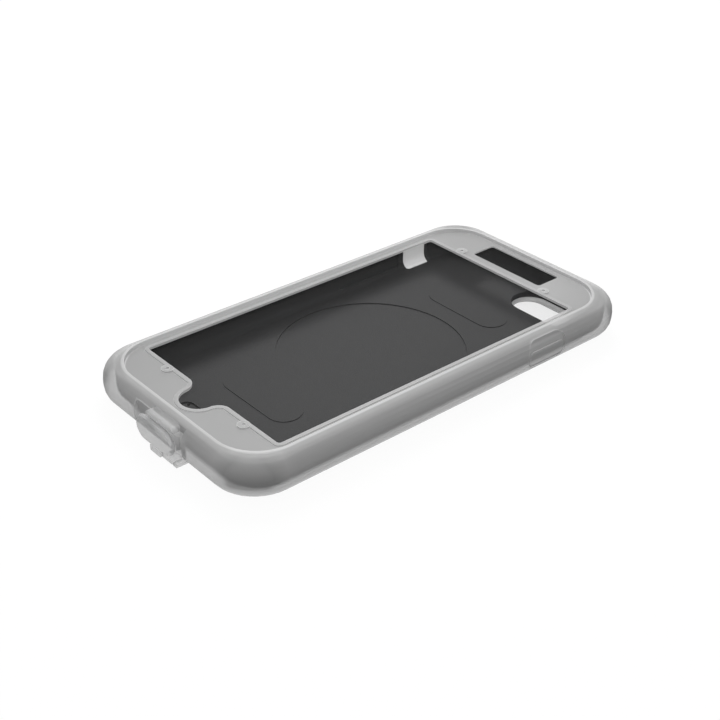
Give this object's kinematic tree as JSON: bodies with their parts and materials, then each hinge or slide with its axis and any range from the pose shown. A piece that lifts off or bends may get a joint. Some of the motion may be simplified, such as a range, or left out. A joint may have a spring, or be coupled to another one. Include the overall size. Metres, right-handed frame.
{
  "type": "bicycle phone case",
  "caption": "Weatherproof phone case for a bicycle: a dark hard tray with a twist-lock socket inside a frosted soft cover with clear windows.",
  "frame": {"origin": "middle of the mount socket's hub face on the case's back, under the phone's centre", "axes": "+X to the phone's right seen from its screen, +Y towards its top, +Z out of its screen"},
  "size_m": [0.0768, 0.1502, 0.0122],
  "materials": {
    "tray": "fine matte texture",
    "socket": "matte",
    "cover": "frosted, slightly see-through",
    "window": "clear film",
    "plug": "frosted, see-through"
  },
  "bodies": {
    "case": {"case_tray": "tray", "mount_socket": "socket", "weather_cover": "cover", "front_window": "window", "camera_window": "window"},
    "plug": {"port_plug": "plug"}
  },
  "joints": [
    {"name": "port_plug_hinge", "type": "hinge", "parent": "case", "child": "plug", "pos_m": [0.00935, -0.0768, 0.0013], "axis": [0, 0, 1], "range_deg": [0, 110]}
  ]
}
